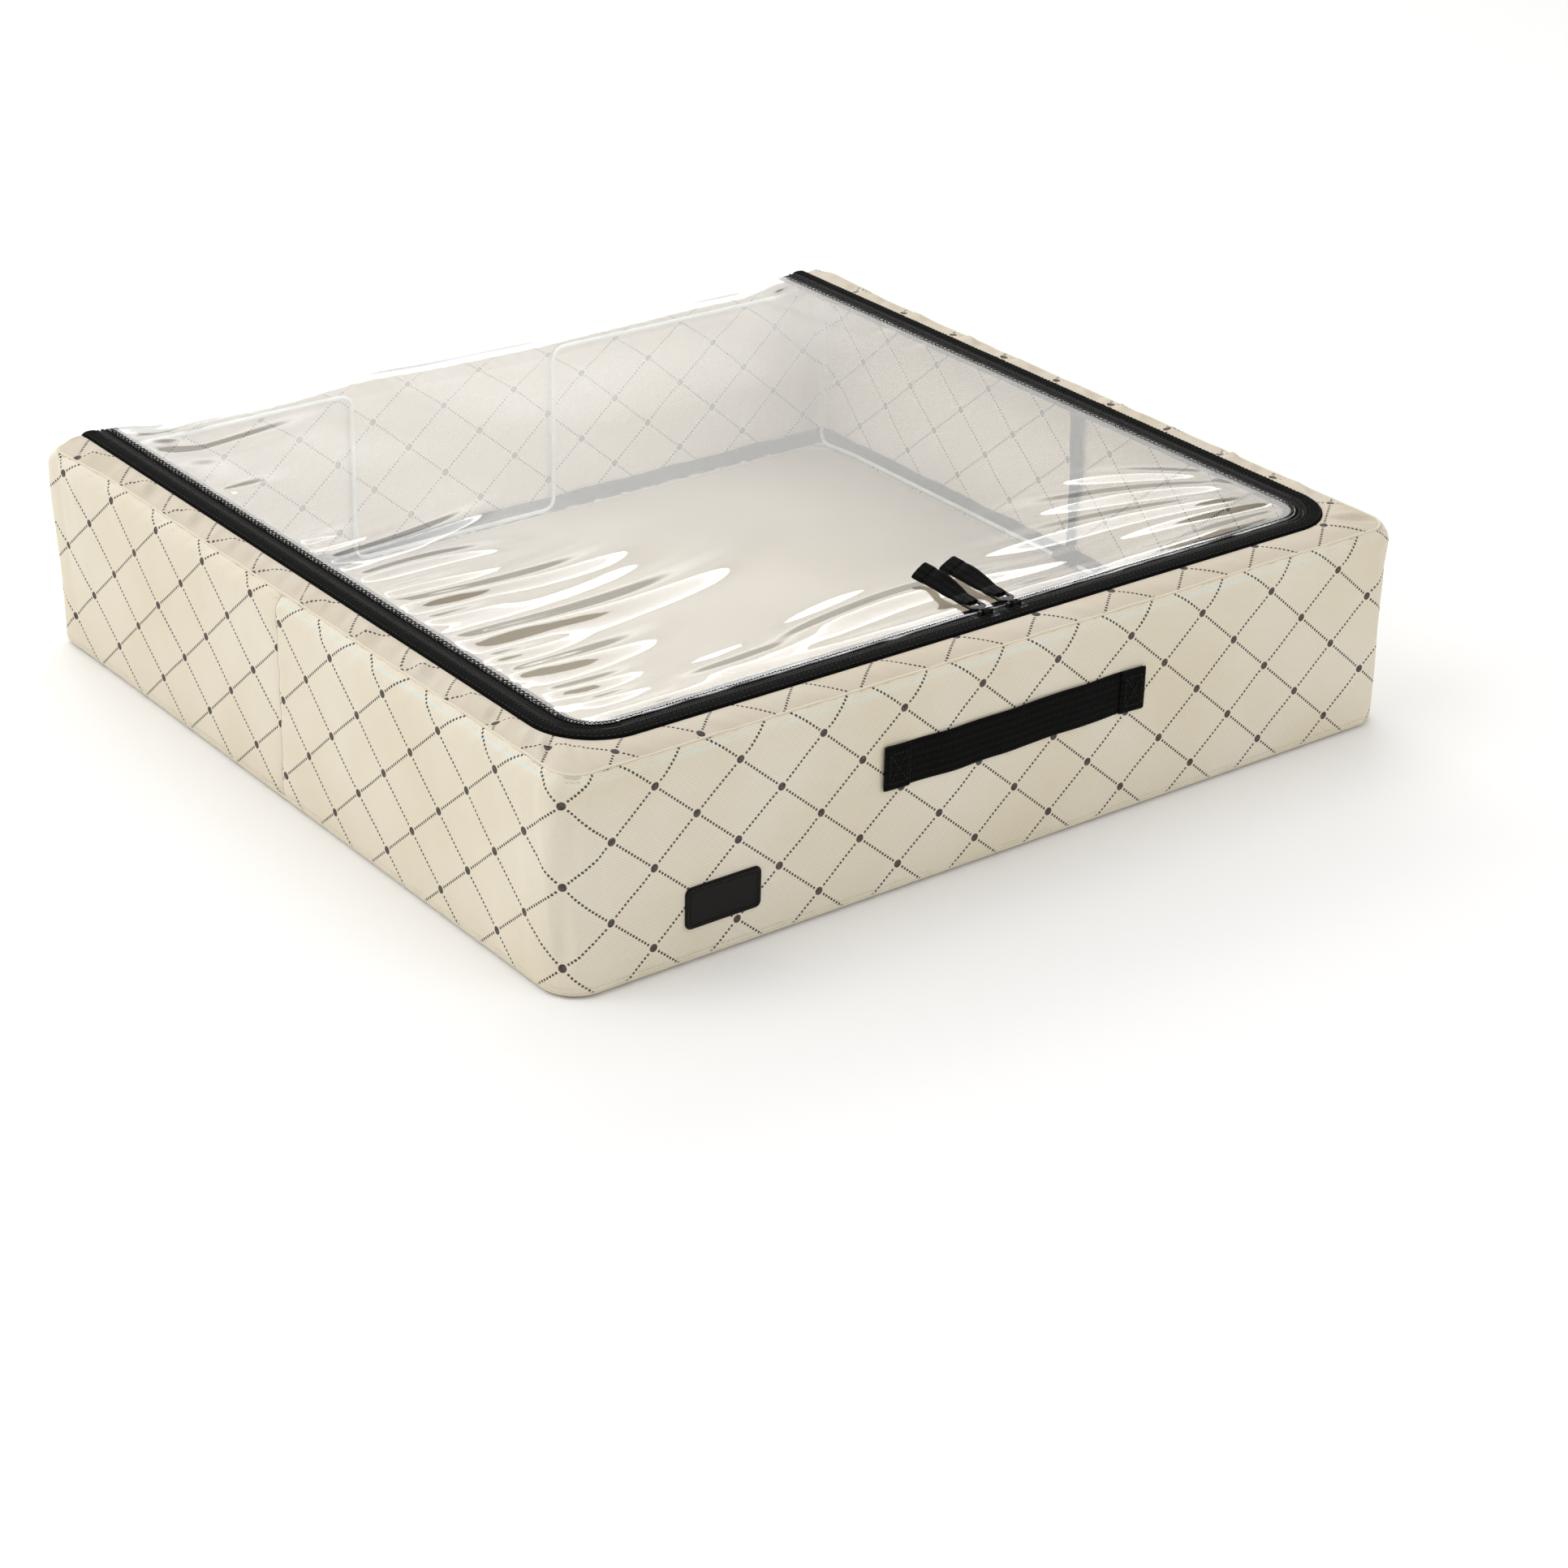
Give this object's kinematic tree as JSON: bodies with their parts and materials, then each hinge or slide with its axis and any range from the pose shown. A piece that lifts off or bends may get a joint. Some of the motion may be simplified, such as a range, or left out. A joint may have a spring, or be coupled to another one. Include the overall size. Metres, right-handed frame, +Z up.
{
  "type": "under bed box",
  "caption": "Low rectangular fabric storage box on a wire frame, with a clear zip-off window top, a front webbing handle and a loose base board.",
  "frame": {"origin": "centre of the bounding box at the underside, where the box stands", "axes": "+X to the right along the front with the handle, +Y to the rear where the window is hinged, +Z up"},
  "size_m": [0.61, 0.566, 0.1377],
  "materials": {
    "canvas": "cream woven polyester canvas with a dark brown dotted diamond lattice",
    "black_tape": "matt black woven polyester tape",
    "black_webbing": "matt black ribbed webbing",
    "zip_coil": "black nylon coil",
    "clear_film": "clear glossy plastic film",
    "black_metal": "black painted die-cast metal",
    "coated_wire": "pale coated steel wire",
    "soft_black": "satin black moulded rubber",
    "board": "stiff board with a smooth greige covering"
  },
  "bodies": {
    "root": {"bottom_panel": "canvas", "front_wall": "canvas", "rear_wall": "canvas", "top_band": "canvas", "floor_binding": "black_tape", "top_binding": "black_tape", "side_binding_left": "black_tape", "side_binding_right": "black_tape", "front_frame_wire": "coated_wire", "rear_frame_wire": "coated_wire", "frame_sleeve_left": "soft_black", "frame_sleeve_right": "soft_black", "outer_zip_tape": "black_tape", "outer_zip_coil": "zip_coil", "zip_end_left": "black_tape", "zip_end_right": "black_tape", "rear_window_hem": "clear_film", "handle_strap": "black_webbing", "handle_end_left": "black_webbing", "handle_end_right": "black_webbing", "label_patch": "soft_black"},
    "lid": {"clear_window": "clear_film", "inner_zip_tape": "black_tape", "inner_zip_coil": "zip_coil"},
    "left_slider": {"slider_left": "black_metal"},
    "right_slider": {"slider_right": "black_metal"},
    "left_pull": {"pull_tab_left": "black_metal", "pull_webbing_left": "black_webbing"},
    "right_pull": {"pull_tab_right": "black_metal", "pull_webbing_right": "black_webbing"},
    "board": {"base_board": "board"}
  },
  "joints": [
    {"name": "lid_hinge", "type": "hinge", "parent": "root", "child": "lid", "pos_m": [0, 0.28185, 0.1327], "axis": [-1, 0, 0], "range_deg": [0, 110]},
    {"name": "left_slider_travel", "type": "slide", "parent": "lid", "child": "left_slider", "axis": [-1, 0, 0], "range_m": [0, 0.23]},
    {"name": "right_slider_travel", "type": "slide", "parent": "lid", "child": "right_slider", "axis": [1, 0, 0], "range_m": [0, 0.199]},
    {"name": "left_pull_swing", "type": "hinge", "parent": "left_slider", "child": "left_pull", "pos_m": [0.005, -0.24395, 0.1358], "axis": [1, 0, 0], "range_deg": [0, 165]},
    {"name": "right_pull_swing", "type": "hinge", "parent": "right_slider", "child": "right_pull", "pos_m": [0.026, -0.24395, 0.1358], "axis": [1, 0, 0], "range_deg": [0, 165]},
    {"name": "board_lift", "type": "slide", "parent": "root", "child": "board", "axis": [0, 0, 1], "range_m": [0, 0.1]}
  ]
}
